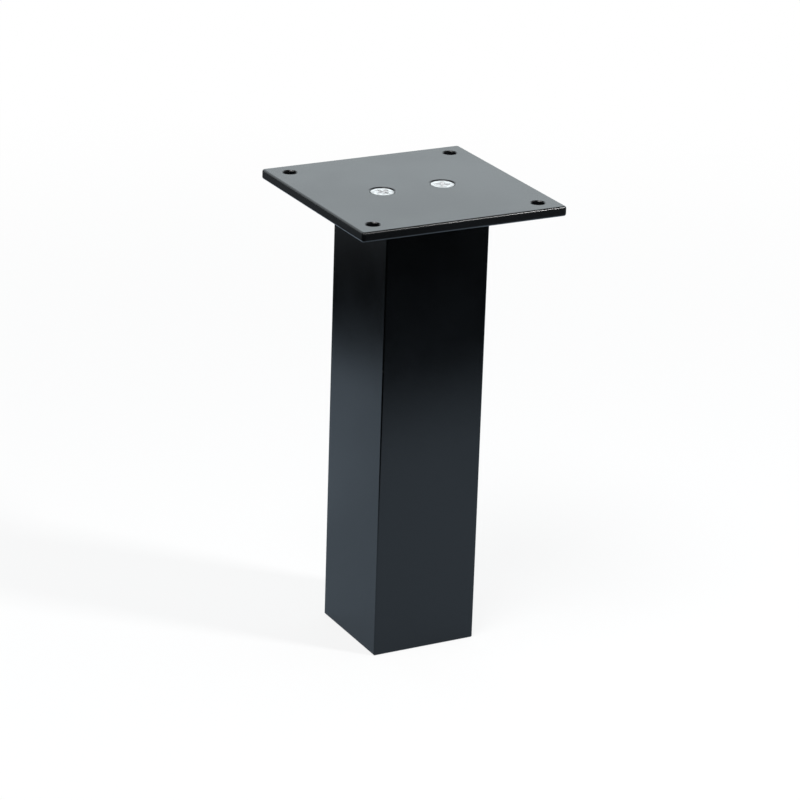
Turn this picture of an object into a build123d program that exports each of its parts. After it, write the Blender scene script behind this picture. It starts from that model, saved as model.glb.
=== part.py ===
# Square post with a screwed-on top plate, for carrying a bar top above a worktop.
# Millimetres, +Z up. The origin is the middle of the post's foot, and +X runs
# along the line of the two plate screws.

import os
from math import radians, tan

from build123d import *

# Post: square aluminium extrusion, cut to length
POST_SIDE = 50.8
POST_LENGTH = 207.5
POST_WALL = 3.0
POST_CORNER_RADIUS = 0.6
POST_INNER_RADIUS = 2.0
POST_END_BREAK = 0.4

# Screw ports: two slotted tubes that run the whole length inside the post
PORT_WALL = 2.3
PORT_MOUTH = 2.4
PORT_WEB = 3.0
PORT_WEB_LENGTH = 2.6
PORT_ROOT_RADIUS = 0.8

# Tapped ends of the ports, cut to the outside diameter of the thread
FOOT_TAPPED_DEPTH = 20.0
TAP_RUNOUT = 7.5
TAP_LEAD = 0.5
TAP_LEAD_ANGLE = 90.0

# Top plate: flat steel plate
PLATE_SIDE = 100.0
PLATE_THICKNESS = 4.5
PLATE_CORNER_RADIUS = 1.4
PLATE_EDGE_RADIUS = 1.0
PLATE_HOLE = 6.2
PLATE_HOLE_SPACING = 81.0
PLATE_HOLE_BREAK = 0.45

# Plate screws: countersunk, with a cross recess, in countersunk holes
SCREW_DIAMETER = 6.0
SCREW_PITCH = 1.0
SCREW_LENGTH = 16.0
SCREW_HEAD = 10.5
SCREW_HEAD_LAND = 0.5
SCREW_HEAD_BREAK = 0.15
SCREW_POINT = 0.8
SCREW_CONE_ANGLE = 90.0
SCREW_THREAD_CLEARANCE = 0.05
SCREW_HOLE_CLEARANCE = 0.3
COUNTERSINK = 12.1
COUNTERSINK_RIM_RADIUS = 0.7
LEFT_SCREW_TURN = 24.0
RIGHT_SCREW_TURN = 63.0

# Cross recess in the screw's head
RECESS_SPAN = 6.8
RECESS_WING = 1.5
RECESS_DEPTH = 3.0
RECESS_SIDE_ANGLE = 4.0
RECESS_TIP_DIAMETER = 2.4

# Heights and places that follow from the sizes above
plate_top = POST_LENGTH + PLATE_THICKNESS
inner_side = POST_SIDE - 2 * POST_WALL
port_bore_radius = (SCREW_DIAMETER - SCREW_PITCH) / 2
port_outer_radius = port_bore_radius + PORT_WALL
port_centre = inner_side / 2 - PORT_WEB_LENGTH - port_outer_radius
port_spacing = 2 * port_centre
tapped_radius = SCREW_DIAMETER / 2 + SCREW_THREAD_CLEARANCE
cone_slope = tan(radians(SCREW_CONE_ANGLE / 2))
cone_bottom = (SCREW_HEAD - SCREW_DIAMETER) / 2 / cone_slope + SCREW_HEAD_LAND
head_top = plate_top - (COUNTERSINK - SCREW_HEAD) / 2 / cone_slope + SCREW_HEAD_LAND
screw_tip = head_top - SCREW_LENGTH
top_tapped_depth = POST_LENGTH - screw_tip + TAP_RUNOUT


def on_web_side(vertex):
    """True for the profile corners where a web meets its port or the post's wall."""
    return abs(abs(vertex.Y) - PORT_WEB / 2) < 0.01


def end_outlines(part):
    """The outer edges round the lowest and the highest flat face of a part."""
    ends = part.faces().filter_by(Axis.Z).sort_by(Axis.Z)
    return ends[0].outer_wire().edges() + ends[-1].outer_wire().edges()


# Post. The profile is a square tube, and a short web joins each screw port to
# the side wall behind it. The port's mouth faces the middle of the tube.
with BuildPart() as post:
    with BuildSketch() as post_profile:
        RectangleRounded(POST_SIDE, POST_SIDE, POST_CORNER_RADIUS)
        RectangleRounded(inner_side, inner_side, POST_INNER_RADIUS, mode=Mode.SUBTRACT)
        for side in (-1, 1):
            web_middle = side * (port_centre + inner_side / 2) / 2
            with Locations((side * port_centre, 0)):
                Circle(port_outer_radius)
            with Locations((web_middle, 0)):
                Rectangle(inner_side / 2 - port_centre, PORT_WEB)
        fillet(post_profile.vertices().filter_by(on_web_side), PORT_ROOT_RADIUS)
        for side in (-1, 1):
            mouth_middle = side * (port_centre - port_outer_radius / 2)
            with Locations((side * port_centre, 0)):
                Circle(port_bore_radius, mode=Mode.SUBTRACT)
            with Locations((mouth_middle, 0)):
                Rectangle(port_outer_radius, PORT_MOUTH, mode=Mode.SUBTRACT)
    extrude(amount=POST_LENGTH)
    chamfer(end_outlines(post.part), POST_END_BREAK)
    for end, depth in ((Plane.XY.offset(POST_LENGTH), top_tapped_depth), (-Plane.XY, FOOT_TAPPED_DEPTH)):
        with Locations(end):
            with GridLocations(port_spacing, 0, 2, 1):
                CounterSinkHole(tapped_radius, tapped_radius + TAP_LEAD, depth, TAP_LEAD_ANGLE)

# Top plate. Its four corner holes take the bar top's screws, and the two
# countersunk holes near the middle take the screws into the post.
with BuildPart() as top_plate:
    with BuildSketch(Plane.XY.offset(POST_LENGTH)):
        RectangleRounded(PLATE_SIDE, PLATE_SIDE, PLATE_CORNER_RADIUS)
    extrude(amount=PLATE_THICKNESS)
    fillet(end_outlines(top_plate.part), PLATE_EDGE_RADIUS)
    with Locations(Plane.XY.offset(plate_top)):
        with GridLocations(PLATE_HOLE_SPACING, PLATE_HOLE_SPACING, 2, 2):
            Hole(PLATE_HOLE / 2)
    chamfer(top_plate.edges(Select.LAST).filter_by(GeomType.CIRCLE), PLATE_HOLE_BREAK)
    with Locations(Plane.XY.offset(plate_top)):
        with GridLocations(port_spacing, 0, 2, 1):
            CounterSinkHole(
                SCREW_DIAMETER / 2 + SCREW_HOLE_CLEARANCE,
                COUNTERSINK / 2,
                counter_sink_angle=SCREW_CONE_ANGLE,
            )
    countersink_rims = top_plate.edges(Select.LAST).filter_by(GeomType.CIRCLE).group_by(Axis.Z)[-1]
    fillet(countersink_rims, COUNTERSINK_RIM_RADIUS)

# Cutter for the cross recess: a cross with slightly tapering wings, held inside
# the cone that the wings' tips follow.
with BuildPart() as recess:
    with BuildSketch(Plane.XY.offset(head_top)):
        Rectangle(RECESS_SPAN, RECESS_WING)
        Rectangle(RECESS_WING, RECESS_SPAN)
    extrude(amount=-RECESS_DEPTH, taper=RECESS_SIDE_ANGLE)
    with Locations((0, 0, head_top)):
        Cone(
            RECESS_TIP_DIAMETER / 2,
            RECESS_SPAN / 2,
            RECESS_DEPTH,
            align=(Align.CENTER, Align.CENTER, Align.MAX),
            mode=Mode.INTERSECT,
        )

# One plate screw on its own axis, turned from its half outline. The head's cone
# seats in the plate's countersink, so the head lies just below the plate's face.
with BuildPart() as screw:
    with BuildSketch(Plane.XZ):
        with BuildLine():
            Polyline(
                (0, head_top),
                (SCREW_HEAD / 2 - SCREW_HEAD_BREAK, head_top),
                (SCREW_HEAD / 2, head_top - SCREW_HEAD_BREAK),
                (SCREW_HEAD / 2, head_top - SCREW_HEAD_LAND),
                (SCREW_DIAMETER / 2, head_top - cone_bottom),
                (SCREW_DIAMETER / 2, screw_tip + SCREW_POINT),
                (SCREW_DIAMETER / 2 - SCREW_POINT, screw_tip),
                (0, screw_tip),
                close=True,
            )
        make_face()
    revolve(axis=Axis.Z)
    add(recess.part, mode=Mode.SUBTRACT)

# The two plate screws, each left at the angle where it pulled tight
with BuildPart() as plate_screws:
    with Locations(Location((-port_centre, 0, 0), (0, 0, LEFT_SCREW_TURN))):
        add(screw.part)
    with Locations(Location((port_centre, 0, 0), (0, 0, RIGHT_SCREW_TURN))):
        add(screw.part)

post.part.label = "post"
top_plate.part.label = "top_plate"
plate_screws.part.label = "plate_screws"

os.makedirs("parts", exist_ok=True)
export_step(post.part, "parts/post.step")
export_step(top_plate.part, "parts/top_plate.step")
export_step(plate_screws.part, "parts/plate_screws.step")
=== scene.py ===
from math import asin, ceil, cos, pi, radians, sin

import bmesh
import bpy
from mathutils import Matrix, Vector


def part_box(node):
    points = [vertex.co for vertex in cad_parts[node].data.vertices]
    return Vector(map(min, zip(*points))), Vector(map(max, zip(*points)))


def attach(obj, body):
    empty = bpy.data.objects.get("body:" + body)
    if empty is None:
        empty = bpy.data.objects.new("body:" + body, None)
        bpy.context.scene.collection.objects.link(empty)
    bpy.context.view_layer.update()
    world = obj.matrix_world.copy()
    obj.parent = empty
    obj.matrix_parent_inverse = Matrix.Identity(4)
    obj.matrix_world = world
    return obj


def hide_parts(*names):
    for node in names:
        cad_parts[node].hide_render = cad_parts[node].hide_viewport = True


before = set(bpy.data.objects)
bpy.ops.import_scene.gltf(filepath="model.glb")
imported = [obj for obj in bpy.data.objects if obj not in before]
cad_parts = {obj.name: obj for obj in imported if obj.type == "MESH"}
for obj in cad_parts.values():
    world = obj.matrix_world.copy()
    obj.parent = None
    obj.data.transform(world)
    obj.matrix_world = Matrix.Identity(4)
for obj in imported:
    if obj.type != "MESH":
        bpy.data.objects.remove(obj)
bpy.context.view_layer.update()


# Post
# A square aluminium extrusion, cut to length and coated satin black. The coat reaches a
# little way into both ends of the tube and thins out there, so the metal shows deeper inside.
# The two screw ports were tapped after coating, so their threaded ends are bare.
POST_HALF_SIZE = (0.0254, 0.0254, 0.10375)
POST_CENTRE = (0.0, 0.0, 0.10375)
POST_INSIDE = 0.0232
POST_COAT = (0.0003, 0.0004, 0.0006, 1.0)
POST_COAT_CLOUDED = (0.0007, 0.0009, 0.0012, 1.0)
POST_ROUGHNESS = 0.2
COAT_IOR = 1.5
COAT_GLOSSIER = 0.015
COAT_DULLER = 0.02
COAT_REACH = 0.014
COAT_FADED = 0.046
COAT_EDGE_SCALE = 160.0
COAT_EDGE_SWAY = 0.024
NICK_OUTLINE = 0.03
PORT_PLACE = 0.015
TAPPED_RADIUS = 0.0036
TAPPED_DEPTH = 0.0203
BARE_METAL = (0.56, 0.565, 0.575, 1.0)
BARE_METAL_DULL = (0.38, 0.385, 0.39, 1.0)
BARE_METAL_ROUGHNESS = (0.34, 0.5)
DIE_LINE_STRETCH = (1.0, 1.0, 0.02)


def feed(placed, inputs):
    """Sets a node's sockets, each from a value or from the output that feeds it."""
    for socket, value in inputs.items():
        if isinstance(value, bpy.types.NodeSocket):
            placed.id_data.links.new(value, placed.inputs[socket])
        else:
            placed.inputs[socket].default_value = value
    return placed


def node(tree, kind, inputs, **settings):
    """Adds a shader node and gives it back."""
    placed = tree.nodes.new("ShaderNode" + kind)
    for name, value in settings.items():
        setattr(placed, name, value)
    return feed(placed, inputs)


def math(tree, operation, *values):
    """The result of a Math node."""
    return node(tree, "Math", dict(enumerate(values)), operation=operation).outputs[0]


def vector_math(tree, operation, *values):
    """The result of a Vector Math node that gives a vector."""
    return node(tree, "VectorMath", dict(enumerate(values)), operation=operation).outputs["Vector"]


def measure(tree, operation, *values):
    """The result of a Vector Math node that gives a number."""
    return node(tree, "VectorMath", dict(enumerate(values)), operation=operation).outputs["Value"]


def ramp(tree, value, low, high, to_low=0.0, to_high=1.0):
    """value taken from low..high to to_low..to_high, smooth at both ends."""
    limits = {"Value": value, "From Min": low, "From Max": high, "To Min": to_low, "To Max": to_high}
    return node(tree, "MapRange", limits, interpolation_type="SMOOTHSTEP").outputs["Result"]


def mixed(tree, factor, first, second):
    """The colour first where factor is 0, and second where it is 1."""
    return node(tree, "Mix", {0: factor, 6: first, 7: second}, data_type="RGBA").outputs[2]


def noise(tree, coordinates, scale, detail):
    """Noise from 0 to 1, with its scale in features to the metre."""
    return node(tree, "TexNoise", {"Vector": coordinates, "Scale": scale, "Detail": detail}).outputs["Fac"]


def group_tree(name, inputs, outputs):
    """A new shader node group: its tree, the sockets that come in, and the node that it puts out to."""
    tree = bpy.data.node_groups.new(name, "ShaderNodeTree")
    for label, kind in inputs:
        tree.interface.new_socket(label, in_out="INPUT", socket_type="NodeSocket" + kind)
    for label in outputs:
        tree.interface.new_socket(label, in_out="OUTPUT", socket_type="NodeSocketFloat")
    return tree, tree.nodes.new("NodeGroupInput").outputs, tree.nodes.new("NodeGroupOutput")


def placed_group(tree, group, inputs):
    """Places a node group in a material and gives its outputs."""
    placed = node(tree, "Group", {}, node_tree=group)
    return feed(placed, inputs).outputs


def new_material(name):
    """A node material: itself, its tree, its Principled shader, and the piece's Object coordinates."""
    material = bpy.data.materials.new(name)
    material.use_nodes = True
    tree = material.node_tree
    return material, tree, tree.nodes["Principled BSDF"], node(tree, "TexCoord", {}).outputs["Object"]


def coat_grain_group():
    """The fine orange peel of a baked coat, and the slow clouds in its gloss."""
    tree, given, out = group_tree(
        "coat_grain",
        [("Vector", "Vector"), ("Peel Scale", "Float"), ("Cloud Scale", "Float")],
        ["Peel", "Clouds"],
    )
    fine = noise(tree, given["Vector"], given["Peel Scale"], detail=2.0)
    slow = noise(tree, given["Vector"], given["Cloud Scale"], detail=4.0)
    feed(out, {"Peel": fine, "Clouds": ramp(tree, slow, low=0.3, high=0.7)})
    return tree


def edge_nicks_group():
    """Small nicks along the edges of a box, where knocks have gone through the coat."""
    tree, given, out = group_tree(
        "edge_nicks",
        [
            ("Vector", "Vector"), ("Centre", "Vector"), ("Half Size", "Vector"),
            ("Width", "Float"), ("Nick Scale", "Float"), ("Rarity", "Float"),
        ],
        ["Nicks"],
    )
    from_centre = vector_math(tree, "SUBTRACT", given["Vector"], given["Centre"])
    inside = vector_math(tree, "SUBTRACT", given["Half Size"], vector_math(tree, "ABSOLUTE", from_centre))
    x, y, z = node(tree, "SeparateXYZ", {"Vector": inside}).outputs
    # The second smallest of the three distances to the faces is the distance to an edge
    nearer = math(tree, "MINIMUM", x, y)
    farther = math(tree, "MAXIMUM", x, y)
    to_edge = math(tree, "MAXIMUM", nearer, math(tree, "MINIMUM", farther, z))
    edge = math(tree, "SUBTRACT", 1.0, ramp(tree, to_edge, 0.0, given["Width"]))
    spots = noise(tree, given["Vector"], given["Nick Scale"], detail=3.0)
    full_depth = math(tree, "ADD", given["Rarity"], NICK_OUTLINE)
    hit = ramp(tree, spots, given["Rarity"], full_depth)
    feed(out, {"Nicks": math(tree, "MULTIPLY", hit, edge)})
    return tree


def metal_grain_group():
    """The fine lines that a die or a tool draws along bare metal, and its dull patches."""
    tree, given, out = group_tree(
        "metal_grain",
        [("Vector", "Vector"), ("Line Scale", "Float"), ("Patch Scale", "Float")],
        ["Lines", "Patches"],
    )
    lines = noise(tree, given["Vector"], given["Line Scale"], detail=3.0)
    patches = noise(tree, given["Vector"], given["Patch Scale"], detail=3.0)
    feed(out, {"Lines": lines, "Patches": ramp(tree, patches, low=0.35, high=0.65)})
    return tree


coat_grain = coat_grain_group()
edge_nicks = edge_nicks_group()
metal_grain = metal_grain_group()


def coat_roughness(tree, clouds, roughness):
    """The coat's roughness, which the clouds in its gloss take a little down and up."""
    return ramp(tree, clouds, 0.0, 1.0, roughness - COAT_GLOSSIER, roughness + COAT_DULLER)


def from_port_axis(tree, x, y):
    """How far a place is from the upright axis of the screw port on its side of the post."""
    across = math(tree, "SUBTRACT", math(tree, "ABSOLUTE", x), PORT_PLACE)
    squares = math(tree, "ADD", math(tree, "POWER", across, 2.0), math(tree, "POWER", y, 2.0))
    return math(tree, "SQRT", squares)


def post_material():
    """Satin black outside, bare aluminium deep inside and in the tapped ends of the ports."""
    material, tree, shader, place = new_material("post_satin_black")
    grain = placed_group(tree, coat_grain, {"Vector": place, "Peel Scale": 900.0, "Cloud Scale": 30.0})
    nicks = placed_group(tree, edge_nicks, {
        "Vector": place, "Centre": POST_CENTRE, "Half Size": POST_HALF_SIZE,
        "Width": 0.0004, "Nick Scale": 420.0, "Rarity": 0.72,
    })["Nicks"]
    along = node(tree, "Mapping", {"Vector": place, "Scale": DIE_LINE_STRETCH}).outputs["Vector"]
    metal = placed_group(tree, metal_grain, {"Vector": along, "Line Scale": 1800.0, "Patch Scale": 90.0})

    x, y, z = node(tree, "SeparateXYZ", {"Vector": place}).outputs
    off_middle = math(tree, "MAXIMUM", math(tree, "ABSOLUTE", x), math(tree, "ABSOLUTE", y))
    inside = math(tree, "LESS_THAN", off_middle, POST_INSIDE)
    from_half_way = math(tree, "ABSOLUTE", math(tree, "SUBTRACT", z, POST_CENTRE[2]))
    depth = math(tree, "SUBTRACT", POST_CENTRE[2], from_half_way)
    sway = noise(tree, place, COAT_EDGE_SCALE, detail=4.0)
    uneven = math(tree, "MULTIPLY_ADD", sway, COAT_EDGE_SWAY, depth)
    half_sway = COAT_EDGE_SWAY / 2
    uncoated = ramp(tree, uneven, COAT_REACH + half_sway, COAT_FADED + half_sway)
    deep = math(tree, "MULTIPLY", inside, uncoated)
    in_port = math(tree, "LESS_THAN", from_port_axis(tree, x, y), TAPPED_RADIUS)
    tapped = math(tree, "MULTIPLY", in_port, math(tree, "LESS_THAN", depth, TAPPED_DEPTH))
    bare = math(tree, "MAXIMUM", math(tree, "MAXIMUM", deep, tapped), nicks)

    coat = mixed(tree, grain["Clouds"], POST_COAT, POST_COAT_CLOUDED)
    aluminium = mixed(tree, metal["Patches"], BARE_METAL, BARE_METAL_DULL)
    coat_gloss = coat_roughness(tree, grain["Clouds"], POST_ROUGHNESS)
    metal_gloss = ramp(tree, metal["Patches"], 0.0, 1.0, *BARE_METAL_ROUGHNESS)
    bare_part = math(tree, "MULTIPLY", bare, math(tree, "SUBTRACT", metal_gloss, coat_gloss))
    peel = node(tree, "Bump", {"Height": grain["Peel"], "Strength": 0.16, "Distance": 0.00004})
    drawn = node(tree, "Bump", {
        "Height": math(tree, "MULTIPLY", metal["Lines"], bare), "Strength": 0.3, "Distance": 0.00005,
        "Normal": peel.outputs["Normal"],
    })
    feed(shader, {
        "Base Color": mixed(tree, bare, coat, aluminium),
        "Metallic": bare,
        "Roughness": math(tree, "ADD", coat_gloss, bare_part),
        "Normal": drawn.outputs["Normal"],
        "IOR": COAT_IOR,
    })
    return material


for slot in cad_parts["post"].material_slots:
    slot.material = post_material()


# Threads in the foot of the screw ports
# The screws that hold the bracket down run up into the two ports, which are tapped M6.
# A port is a slotted tube, so each turn of its thread breaks off at the slot.
THREAD_PITCH = 0.001
THREAD_ROOT = 0.00315
THREAD_CREST = 0.00252
THREAD_ROOT_HALF = 0.46 * THREAD_PITCH
THREAD_CREST_HALF = 0.06 * THREAD_PITCH
THREAD_FIRST = 0.0013
THREAD_TURNS = 18
THREAD_STEPS = 26
SLOT_HALF_WIDTH = 0.0012
CUT_ROUGHNESS = (0.24, 0.38)


def new_object(name, bm, material, sharp=35.0):
    """Makes a finished bmesh an object at the origin, smooth but for edges sharper than sharp degrees."""
    mesh = bpy.data.meshes.new(name)
    bm.to_mesh(mesh)
    bm.free()
    mesh.shade_smooth()
    mesh.set_sharp_from_angle(angle=radians(sharp))
    mesh.materials.append(material)
    made = bpy.data.objects.new(name, mesh)
    bpy.context.scene.collection.objects.link(made)
    return made


def cut_aluminium():
    """Freshly cut aluminium with fine tool lines."""
    material, tree, shader, place = new_material("cut_aluminium")
    grain = placed_group(tree, metal_grain, {"Vector": place, "Line Scale": 2600.0, "Patch Scale": 350.0})
    bump = node(tree, "Bump", {"Height": grain["Lines"], "Strength": 0.3, "Distance": 0.00004})
    feed(shader, {
        "Base Color": mixed(tree, grain["Patches"], BARE_METAL, BARE_METAL_DULL),
        "Metallic": 1.0,
        "Roughness": ramp(tree, grain["Patches"], 0.0, 1.0, *CUT_ROUGHNESS),
        "Normal": bump.outputs["Normal"],
    })
    return material


def foot_threads():
    """Two rows of broken turns, one in each port, with their slots towards each other."""
    bm = bmesh.new()
    half_slot = asin(SLOT_HALF_WIDTH / THREAD_CREST)
    sweep = 2 * pi - 2 * half_slot
    rise = THREAD_PITCH * sweep / (2 * pi)
    ridge = (
        (THREAD_ROOT, -THREAD_ROOT_HALF), (THREAD_CREST, -THREAD_CREST_HALF),
        (THREAD_CREST, THREAD_CREST_HALF), (THREAD_ROOT, THREAD_ROOT_HALF),
    )
    for side, slot_towards in ((-1, 0.0), (1, pi)):
        other_port = set(bm.verts)
        for turn in range(THREAD_TURNS):
            height = THREAD_FIRST + turn * THREAD_PITCH
            section = bm.faces.new([bm.verts.new((r, 0, height + z)) for r, z in ridge])
            bmesh.ops.spin(
                bm, geom=[section], cent=(0, 0, 0), axis=(0, 0, 1), angle=sweep, steps=THREAD_STEPS,
                dvec=(0, 0, rise / THREAD_STEPS),
            )
        port = [v for v in bm.verts if v not in other_port]
        turn_to_slot = Matrix.Rotation(slot_towards + half_slot, 3, "Z")
        bmesh.ops.rotate(bm, verts=port, cent=(0, 0, 0), matrix=turn_to_slot)
        bmesh.ops.translate(bm, verts=port, vec=(side * PORT_PLACE, 0, 0))
    bmesh.ops.recalc_face_normals(bm, faces=bm.faces)
    return new_object("foot_threads", bm, cut_aluminium())


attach(foot_threads(), "root")


# Top plate
# A flat steel plate, coated satin black like the post. It lies on the post's upper end, and
# its edges and holes were broken before coating. Handling has left a few nicks on its edges.
PLATE_LOWEST, PLATE_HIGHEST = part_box("top_plate")
PLATE_CENTRE = tuple((PLATE_LOWEST[i] + PLATE_HIGHEST[i]) / 2 for i in range(3))
PLATE_HALF_SIZE = tuple((PLATE_HIGHEST[i] - PLATE_LOWEST[i]) / 2 for i in range(3))
PLATE_COAT = (0.0034, 0.0037, 0.004, 1.0)
PLATE_COAT_CLOUDED = (0.0048, 0.0051, 0.0055, 1.0)
PLATE_ROUGHNESS = 0.25
NICKED_STEEL = (0.17, 0.17, 0.167, 1.0)


def plate_material():
    """Satin black over steel, with nicks through to the metal along the edges."""
    material, tree, shader, place = new_material("plate_satin_black")
    grain = placed_group(tree, coat_grain, {"Vector": place, "Peel Scale": 800.0, "Cloud Scale": 22.0})
    nicks = placed_group(tree, edge_nicks, {
        "Vector": place, "Centre": PLATE_CENTRE, "Half Size": PLATE_HALF_SIZE,
        "Width": 0.00045, "Nick Scale": 420.0, "Rarity": 0.73,
    })["Nicks"]
    coat = mixed(tree, grain["Clouds"], PLATE_COAT, PLATE_COAT_CLOUDED)
    peel = node(tree, "Bump", {"Height": grain["Peel"], "Strength": 0.16, "Distance": 0.00004})
    feed(shader, {
        "Base Color": mixed(tree, nicks, coat, NICKED_STEEL),
        "Metallic": nicks,
        "Roughness": coat_roughness(tree, grain["Clouds"], PLATE_ROUGHNESS),
        "Normal": peel.outputs["Normal"],
        "IOR": COAT_IOR,
    })
    return material


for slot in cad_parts["top_plate"].material_slots:
    slot.material = plate_material()


# Plate screws
# Two zinc-plated M6 countersunk steel screws with a cross recess hold the plate down on the
# post. Each is cold-headed and thread-rolled, and turned until its cone seats in the plate.
SCREW_TURNS = {"plate_screw_left": (-1, 24.0), "plate_screw_right": (1, 63.0)}
SCREW_TOP = 0.2117
SCREW_LENGTH = 0.016
HEAD_RADIUS = 0.00525
HEAD_RIM_BREAK = 0.00015
HEAD_RIM_CORNER = 0.3 * HEAD_RIM_BREAK
HEAD_LAND = 0.0005
HEAD_CONE = 0.00225
HEAD_STEPS = 64
HEAD_SHARP_ANGLE = 20.0
RECESS_SPAN = 0.0068
RECESS_WING = 0.0015
RECESS_DEPTH = 0.002
RECESS_FLOOR_SPAN = 0.0036
RECESS_FLOOR_WING = 0.00112
RECESS_TIP = 0.0004
RECESS_BREAK = 0.00008
SCREW_MAJOR = 0.003
SCREW_MINOR = 0.00245
SCREW_PITCH = 0.001
SCREW_STEPS = 48
SCREW_SPARE_TURNS = 2
SCREW_START = 1.5 * SCREW_PITCH
SCREW_WELD = SCREW_PITCH / 200
SCREW_POINT = 0.0008
NECK = 0.0004
SAME_HEIGHT = 1e-6
ZINC = (0.69, 0.67, 0.66, 1.0)
ZINC_DULL = (0.5, 0.487, 0.48, 1.0)
ZINC_MATTE_AND_PAINTED_LIGHT = (0.74, 0.75, 0.76, 1.0)
ZINC_MATTE_METALLIC = 0.15
ZINC_ROUGHNESS = (0.2, 0.34)
MATTE_AND_PAINTED_LIGHT_DEPTH = (0.00003, 0.0003)
MATTE_AND_PAINTED_LIGHT_RADIUS = 0.0035


def open_edges(bm, low, high):
    """The open edges of a mesh that lie at one height or between two."""
    lowest = low - SAME_HEIGHT
    highest = high + SAME_HEIGHT
    return [e for e in bm.edges if e.is_boundary and all(lowest <= v.co.z <= highest for v in e.verts)]


def rolled_thread(bm, tip, neck):
    """One pitch of the thread's outline, spun upwards in a helix and cut off square at both ends."""
    turns = ceil((neck - tip) / SCREW_PITCH) + SCREW_SPARE_TURNS
    # Radius, and height in pitches: the root, the flanks and the narrow crest between them
    outline = (
        (SCREW_MINOR, 0.0), (SCREW_MINOR, 0.1), (SCREW_MAJOR, 0.44),
        (SCREW_MAJOR, 0.56), (SCREW_MINOR, 0.9), (SCREW_MINOR, 1.0),
    )
    lowest = tip - SCREW_START
    corners = [bm.verts.new((r, 0, lowest + z * SCREW_PITCH)) for r, z in outline]
    sides = [bm.edges.new(pair) for pair in zip(corners, corners[1:])]
    bmesh.ops.spin(
        bm, geom=corners + sides, cent=(0, 0, 0), axis=(0, 0, 1), angle=2 * pi * turns,
        steps=SCREW_STEPS * turns, dvec=(0, 0, SCREW_PITCH / SCREW_STEPS),
    )
    bmesh.ops.remove_doubles(bm, verts=bm.verts, dist=SCREW_WELD)
    for height, normal in ((tip, (0, 0, -1)), (neck, (0, 0, 1))):
        bmesh.ops.bisect_plane(
            bm, geom=bm.verts[:] + bm.edges[:] + bm.faces[:], dist=SAME_HEIGHT,
            plane_co=(0, 0, height), plane_no=normal, clear_outer=True,
        )


def pointed_tip(bm, tip):
    """Turns the end of the thread down to a blunt cone and closes it."""
    for vert in bm.verts:
        radius = vert.co.xy.length
        largest = SCREW_MINOR - SCREW_POINT / 2 + (vert.co.z - tip)
        if radius > largest:
            vert.co.xy *= largest / radius
    bmesh.ops.contextual_create(bm, geom=open_edges(bm, tip, tip))


def countersunk_head(bm, top):
    """The head's rim, land and cone, spun from their outline, with its top still open."""
    cone_foot = top - HEAD_LAND - HEAD_CONE
    outline = (
        (HEAD_RADIUS - HEAD_RIM_BREAK, top),
        (HEAD_RADIUS - HEAD_RIM_CORNER, top - HEAD_RIM_CORNER),
        (HEAD_RADIUS, top - HEAD_RIM_BREAK),
        (HEAD_RADIUS, top - HEAD_LAND),
        (SCREW_MAJOR, cone_foot),
    )
    corners = [bm.verts.new((r, 0, z)) for r, z in outline]
    sides = [bm.edges.new(pair) for pair in zip(corners, corners[1:])]
    bmesh.ops.spin(
        bm, geom=corners + sides, cent=(0, 0, 0), axis=(0, 0, 1), angle=2 * pi,
        steps=HEAD_STEPS, use_merge=True,
    )
    bmesh.ops.bridge_loops(bm, edges=open_edges(bm, cone_foot - NECK, cone_foot))


def cross_recess(bm, top):
    """Closes the head's top round a cross, then presses the cross in, tapered, to a shallow point."""
    cross = bmesh.ops.create_grid(bm, x_segments=3, y_segments=3, size=RECESS_SPAN / 2)["verts"]
    for vert in cross:
        for axis in (0, 1):
            if abs(vert.co[axis]) < RECESS_SPAN / 4:
                vert.co[axis] = RECESS_WING / 2 if vert.co[axis] > 0 else -RECESS_WING / 2
        vert.co.z = top
    faces = {f for v in cross for f in v.link_faces}
    centres = {f: f.calc_center_median() for f in faces}
    corner_faces = [f for f in faces if min(abs(centres[f].x), abs(centres[f].y)) > RECESS_WING / 2]
    bmesh.ops.delete(bm, geom=corner_faces, context="FACES")
    arms = [f for f in faces if f.is_valid]
    bmesh.ops.triangle_fill(bm, edges=open_edges(bm, top, top), use_beauty=True)
    mouth = [e for e in {e for f in arms for e in f.edges} if any(f not in arms for f in e.link_faces)]
    pressed = bmesh.ops.extrude_face_region(bm, geom=arms)["geom"]
    floor_faces = [f for f in pressed if isinstance(f, bmesh.types.BMFace)]
    bmesh.ops.delete(bm, geom=arms, context="FACES")
    for vert in (v for v in pressed if isinstance(v, bmesh.types.BMVert)):
        for axis in (0, 1):
            outer = abs(vert.co[axis]) > RECESS_WING
            inward = RECESS_FLOOR_SPAN / RECESS_SPAN if outer else RECESS_FLOOR_WING / RECESS_WING
            vert.co[axis] *= inward
        vert.co.z = top - RECESS_DEPTH
    middle = min(floor_faces, key=lambda f: f.calc_center_median().xy.length)
    for vert in bmesh.ops.poke(bm, faces=[middle])["verts"]:
        vert.co.z -= RECESS_TIP
    bmesh.ops.bevel(
        bm, geom=[e for e in mouth if e.is_valid], offset=RECESS_BREAK, offset_type="OFFSET", segments=2,
        profile=0.5, affect="EDGES", material=-1, clamp_overlap=True,
    )


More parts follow.
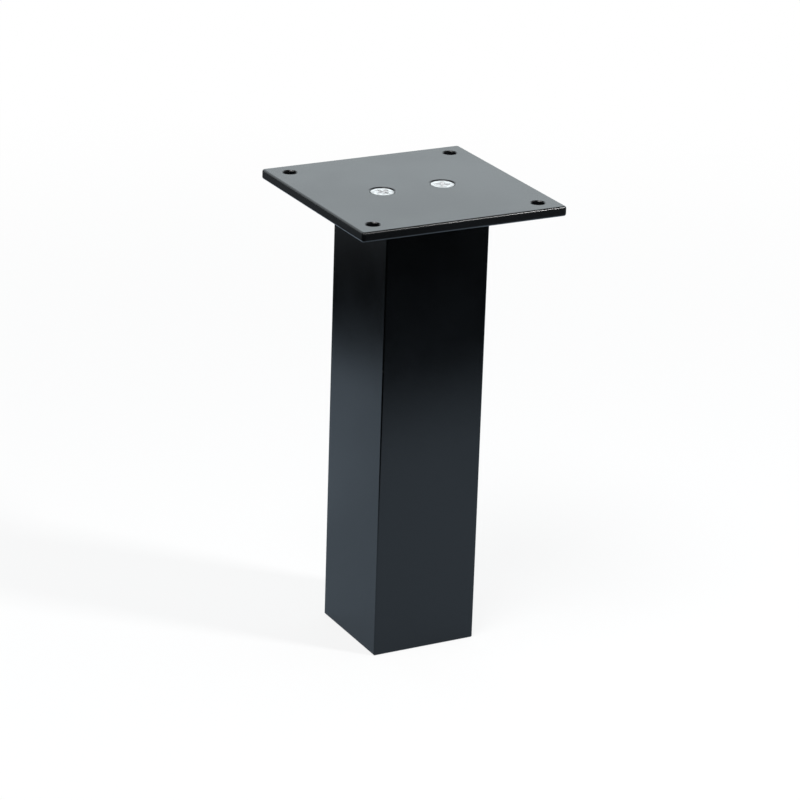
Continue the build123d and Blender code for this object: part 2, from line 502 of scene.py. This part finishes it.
def zinc_material():
    """Bright zinc plating with thin tool marks and duller patches. In the recess it is matt zinc, painted
    pale as painted light for the light that bounces inside it.
    """
    material, tree, shader, place = new_material("bright_zinc")
    grain = placed_group(tree, metal_grain, {"Vector": place, "Line Scale": 1100.0, "Patch Scale": 420.0})
    bump = node(tree, "Bump", {"Height": grain["Lines"], "Strength": 0.2, "Distance": 0.00004})
    x, y, z = node(tree, "SeparateXYZ", {"Vector": place}).outputs
    # Painted light: the recess is made pale and nearly unmetallic so that it stays bright, in place of the
    # light that bounces round inside it. The matt zinc there is real.
    below_top = ramp(tree, math(tree, "SUBTRACT", SCREW_TOP, z), *MATTE_AND_PAINTED_LIGHT_DEPTH)
    near_axis = math(tree, "LESS_THAN", from_port_axis(tree, x, y), MATTE_AND_PAINTED_LIGHT_RADIUS)
    recess = math(tree, "MULTIPLY", below_top, near_axis)
    plated = mixed(tree, grain["Patches"], ZINC, ZINC_DULL)
    dull = math(tree, "MAXIMUM", grain["Patches"], recess)
    feed(shader, {
        "Base Color": mixed(tree, recess, plated, ZINC_MATTE_AND_PAINTED_LIGHT),
        "Metallic": ramp(tree, recess, 0.0, 1.0, 1.0, ZINC_MATTE_METALLIC),
        "Roughness": ramp(tree, dull, 0.0, 1.0, *ZINC_ROUGHNESS),
        "Normal": bump.outputs["Normal"],
    })
    return material


def plate_screw(name, side, turned, material):
    """One screw, made upright on the bracket's middle, then turned and moved to its port."""
    bm = bmesh.new()
    tip = SCREW_TOP - SCREW_LENGTH
    rolled_thread(bm, tip, SCREW_TOP - HEAD_LAND - HEAD_CONE - NECK)
    pointed_tip(bm, tip)
    countersunk_head(bm, SCREW_TOP)
    cross_recess(bm, SCREW_TOP)
    bmesh.ops.recalc_face_normals(bm, faces=bm.faces)
    bmesh.ops.rotate(bm, verts=bm.verts, cent=(0, 0, 0), matrix=Matrix.Rotation(radians(turned), 3, "Z"))
    bmesh.ops.translate(bm, verts=bm.verts, vec=(side * PORT_PLACE, 0, 0))
    return new_object(name, bm, material, HEAD_SHARP_ANGLE)


zinc = zinc_material()
for name, (side, turned) in SCREW_TURNS.items():
    screw = plate_screw(name, side, turned, zinc)
    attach(screw, "root")
    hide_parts("plate_screws")


# Studio
# A pale floor in a dark room, white to the camera. The satin coat mirrors a painted reflection
# of it: a painted pool of light round the bracket, painted shade at the front left and further off,
# and painted grey far behind and at the right. A white backdrop stands low down behind, and three
# soft boxes light the bracket.
FLOOR_HALF_SIZE = 6.0
FLOOR_HEIGHT = -0.0001
# The floor's colours as reflections see them are painted light and shade: a pale painted pool round the
# bracket, painted shade and painted grey beyond it.
FLOOR_PALE_AND_PAINTED_POOL = (0.55, 0.665, 0.79, 1.0)
PAINTED_DARK_REFLECTION = (0.002, 0.002, 0.002, 1.0)
PAINTED_GREY_REFLECTION = (0.225, 0.245, 0.265, 1.0)
FLOOR_WHITE = (1.0, 1.0, 1.0, 1.0)
PAINTED_POOL_CENTRE = (0.2, 0.13, 0.0)
PAINTED_POOL_EDGE = (0.395, 0.48)
PAINTED_GREY_DIRECTION = (-0.475, 0.88, 0.0)
PAINTED_GREY_EDGE = (0.55, 0.66)
PAINTED_GREY_RIGHT_EDGE = (0.37, 0.48)
PAINTED_SHADE_FRONT_DIRECTION = (-0.881, -0.474, 0.0)
PAINTED_SHADE_FRONT_EDGE = (0.12, 0.26)
SHADOW_REACH = (0.25, 0.9)
FLOOR_GLOW = 0.8
MIRRORED_GLOW = 0.25
ROOM_COLOUR = (0.873, 0.959, 1.0, 1.0)
BACKDROP_EDGE = (0.2, 0.62)
BACKDROP_TOP = (0.51, 0.66)
BACKDROP_STRENGTH = 1.545
CEILING_STRENGTH = 0.06
FRONT_STRENGTH = 0.12


def floor_material():
    """White to the camera, with the bracket's shadow. Reflections see painted zones on it: a painted pool
    of light, painted shade and painted grey.
    """
    material, tree, shader, place = new_material("studio_floor")
    tree.nodes.remove(shader)
    rays = node(tree, "LightPath", {}).outputs
    camera = rays["Is Camera Ray"]
    reflected = math(tree, "MAXIMUM", rays["Is Glossy Ray"], rays["Is Transmission Ray"])
    x = node(tree, "SeparateXYZ", {"Vector": place}).outputs["X"]
    from_painted_pool = measure(tree, "DISTANCE", place, PAINTED_POOL_CENTRE)
    behind = measure(tree, "DOT_PRODUCT", place, PAINTED_GREY_DIRECTION)
    in_front = measure(tree, "DOT_PRODUCT", place, PAINTED_SHADE_FRONT_DIRECTION)
    grey = math(tree, "MAXIMUM", ramp(tree, behind, *PAINTED_GREY_EDGE), ramp(tree, x, *PAINTED_GREY_RIGHT_EDGE))
    dark = math(tree, "MAXIMUM", ramp(tree, from_painted_pool, *PAINTED_POOL_EDGE), ramp(tree, in_front, *PAINTED_SHADE_FRONT_EDGE))
    painted_zones = math(tree, "MULTIPLY", dark, reflected)
    # Painted reflection: only glossy and transmission rays see the painted pool, the painted shade and the
    # painted grey.
    seen_with_painted_reflections = mixed(tree, painted_zones, FLOOR_PALE_AND_PAINTED_POOL, mixed(tree, grey, PAINTED_DARK_REFLECTION, PAINTED_GREY_REFLECTION))
    colour = mixed(tree, camera, seen_with_painted_reflections, FLOOR_WHITE)
    from_middle = measure(tree, "LENGTH", place)
    white = math(tree, "MULTIPLY", camera, ramp(tree, from_middle, *SHADOW_REACH, FLOOR_GLOW, 1.0))
    share = math(tree, "MULTIPLY_ADD", reflected, MIRRORED_GLOW, white)
    lit = node(tree, "BsdfDiffuse", {"Color": colour}).outputs["BSDF"]
    glow = node(tree, "Emission", {"Color": colour, "Strength": 1.0}).outputs["Emission"]
    surface = node(tree, "MixShader", {0: share, 1: lit, 2: glow}).outputs["Shader"]
    tree.links.new(surface, tree.nodes["Material Output"].inputs["Surface"])
    return material


bm = bmesh.new()
bmesh.ops.create_grid(bm, x_segments=1, y_segments=1, size=FLOOR_HALF_SIZE)
bmesh.ops.translate(bm, verts=bm.verts, vec=(0, 0, FLOOR_HEIGHT))
new_object("studio_floor", bm, floor_material())


def studio_room():
    """The world: 1 to the camera, and otherwise a bright backdrop low down behind and to the right."""
    world = bpy.data.worlds.new("studio_room")
    world.use_nodes = True
    tree = world.node_tree
    direction = node(tree, "TexCoord", {}).outputs["Generated"]
    x, y, height = node(tree, "SeparateXYZ", {"Vector": direction}).outputs
    right_and_back = math(tree, "ADD", x, y)
    walls = ramp(tree, right_and_back, *BACKDROP_EDGE, FRONT_STRENGTH, BACKDROP_STRENGTH)
    above = ramp(tree, height, *BACKDROP_TOP)
    ceiling = math(tree, "MULTIPLY", above, CEILING_STRENGTH)
    strength = math(tree, "MULTIPLY_ADD", math(tree, "SUBTRACT", 1.0, above), walls, ceiling)
    camera = node(tree, "LightPath", {}).outputs["Is Camera Ray"]
    unseen = math(tree, "MULTIPLY", strength, math(tree, "SUBTRACT", 1.0, camera))
    feed(tree.nodes["Background"], {"Color": ROOM_COLOUR, "Strength": math(tree, "ADD", unseen, camera)})
    return world


bpy.context.scene.world = studio_room()


def soft_lamp(name, place, towards, size, power):
    """A square soft box that shows only by its light."""
    light = bpy.data.lights.new(name, "AREA")
    light.size = size
    light.energy = power
    lamp = bpy.data.objects.new(name, light)
    lamp.location = place
    lamp.rotation_euler = (Vector(towards) - Vector(place)).to_track_quat("-Z", "Y").to_euler()
    lamp.visible_camera = False
    bpy.context.scene.collection.objects.link(lamp)


soft_lamp("key_box", place=(0.9, -0.93, 1.22), towards=(0, 0, 0.21), size=0.2, power=16.0)
soft_lamp("top_box", place=(-0.75, -0.45, 1.75), towards=(0, 0, 0.1), size=0.8, power=17.0)
soft_lamp("fill_box", place=(-0.86, 0.26, 1.53), towards=(0, 0, 0.21), size=0.4, power=1.6)

# The camera stands in front, a little to the left and above, and far enough off that the
# bracket's upright edges are nearly parallel. Its roll is the photograph's own.
AIM = Vector((-0.00075, 0.00365, 0.1104))
DISTANCE = 1.5345
AZIMUTH = radians(-28.292)
ELEVATION = radians(20.853)
ROLL = radians(1.917)
camera_data = bpy.data.cameras.new("camera")
camera_data.lens = 152.64
camera_data.sensor_width = 36.0
camera = bpy.data.objects.new("camera", camera_data)
bpy.context.scene.collection.objects.link(camera)
back = Vector((sin(AZIMUTH) * cos(ELEVATION), -cos(AZIMUTH) * cos(ELEVATION), sin(ELEVATION)))
camera.location = AIM + back * DISTANCE
level = (-back).to_track_quat("-Z", "Y").to_matrix()
camera.rotation_euler = (level @ Matrix.Rotation(ROLL, 3, "Z")).to_euler()
bpy.context.scene.camera = camera
bpy.context.scene.view_settings.view_transform = "Standard"
